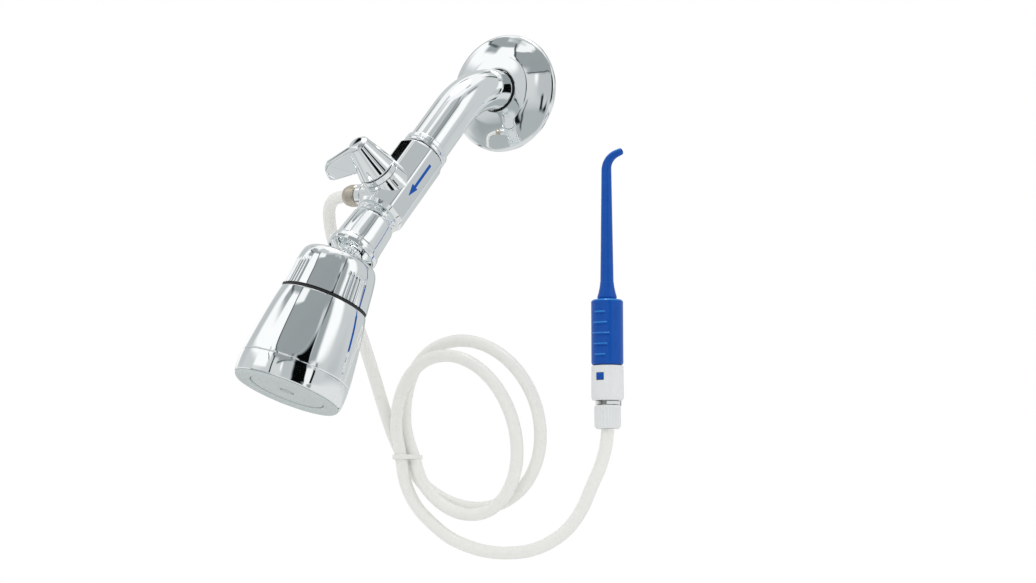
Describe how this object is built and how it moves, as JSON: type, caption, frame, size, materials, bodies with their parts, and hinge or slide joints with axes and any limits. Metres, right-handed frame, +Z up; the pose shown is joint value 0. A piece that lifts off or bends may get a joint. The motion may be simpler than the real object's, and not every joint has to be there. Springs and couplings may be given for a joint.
{
  "type": "water flosser",
  "caption": "Shower-mounted water flosser: wall flange, bent arm, diverter valve with lever, swivelling spray head, coiled hose and a flosser wand with a curved tip.",
  "frame": {"origin": "centre of the supply pipe where it leaves the finished wall", "axes": "+Y into the wall along the supply pipe, +Z up, +X to the right seen from in front"},
  "size_m": [0.1537, 0.1733, 0.2726],
  "materials": {
    "chrome": "polished chrome plate",
    "brass": "dull nickel-washed brass",
    "steel": "plain stainless steel",
    "rubber": "matt black rubber",
    "white_plastic": "smooth white plastic",
    "frosted_plastic": "frosted pale plastic",
    "grey_plastic": "moulded light grey plastic",
    "blue_plastic": "moulded mid-blue plastic",
    "hose_vinyl": "translucent off-white vinyl"
  },
  "bodies": {
    "base": {"shower_arm": "chrome", "inlet_collar": "chrome", "valve_body": "chrome", "flow_arrow": "blue_plastic", "inlet_washer": "rubber", "inlet_screen": "steel", "bonnet_ring": "chrome", "hose_outlet_fitting": "chrome", "hose_outlet_nut": "brass", "hose_ferrule": "brass", "swivel_washer": "rubber", "wall_flange": "chrome", "flange_grip_ring": "rubber", "hose_feed": "hose_vinyl", "hose_turns": "hose_vinyl", "hose_lead": "hose_vinyl", "hose_tie": "white_plastic", "wand_hose_nut": "white_plastic", "wand_ferrule": "brass", "wand_spigot": "grey_plastic", "wand_base": "white_plastic", "nozzle_socket": "grey_plastic", "wand_clip": "white_plastic", "clip_pad": "rubber"},
    "lever": {"lever_knob": "chrome", "lever_set_screw": "steel", "diverter_stem": "brass", "stem_o_ring_lower": "rubber", "stem_o_ring_upper": "rubber"},
    "swivel": {"swivel_nut": "chrome"},
    "head_mount": {"head_cap": "chrome", "ball_seat": "grey_plastic", "seat_spring_washer": "steel", "seam_ring": "rubber", "inner_sleeve": "grey_plastic", "sleeve_o_ring": "rubber", "spray_disc": "frosted_plastic", "disc_screw": "steel"},
    "spray_head": {"head_shell": "chrome", "head_band": "chrome", "spray_plate": "grey_plastic", "spray_ring": "frosted_plastic"},
    "plunger": {"flow_plunger": "grey_plastic"},
    "tip": {"nozzle": "blue_plastic", "nozzle_o_ring": "rubber", "tip_grip": "blue_plastic"},
    "button": {"release_button": "blue_plastic", "button_spring": "steel"}
  },
  "joints": [
    {"name": "diverter_lever", "type": "hinge", "parent": "base", "child": "lever", "pos_m": [-0.01618, -0.07765, -0.06258], "axis": [-0.1254, -0.7777, 0.616], "range_deg": [0, 90]},
    {"name": "head_swivel", "type": "hinge", "parent": "base", "child": "swivel", "pos_m": [-0.02799, -0.11192, -0.10824], "axis": [-0.2026, -0.5878, -0.7832], "continuous": true},
    {"name": "head_tilt", "type": "hinge", "parent": "swivel", "child": "head_mount", "pos_m": [-0.02799, -0.11192, -0.10824], "axis": [0.9785, -0.0902, -0.1854], "range_deg": [-40, 5]},
    {"name": "spray_adjust", "type": "hinge", "parent": "head_mount", "child": "spray_head", "pos_m": [-0.03618, -0.12467, -0.14526], "axis": [-0.2047, -0.3188, -0.9254], "range_deg": [0, 120]},
    {"name": "flow_plunger_slide", "type": "slide", "parent": "head_mount", "child": "plunger", "axis": [-0.2047, -0.3188, -0.9254], "range_m": [0, 0.0021]},
    {"name": "tip_spin", "type": "hinge", "parent": "base", "child": "tip", "pos_m": [0.0655, -0.01, -0.13], "axis": [0, 0, 1], "continuous": true},
    {"name": "release_button", "type": "slide", "parent": "base", "child": "button", "axis": [0, 1, 0], "range_m": [0, 0.0006], "stiffness_N_per_m": 500, "springref_m": -0.0004}
  ],
  "couplings": [
    {"joint": "flow_plunger_slide", "follows": "spray_adjust", "m_per_rad": 0.000955}
  ]
}
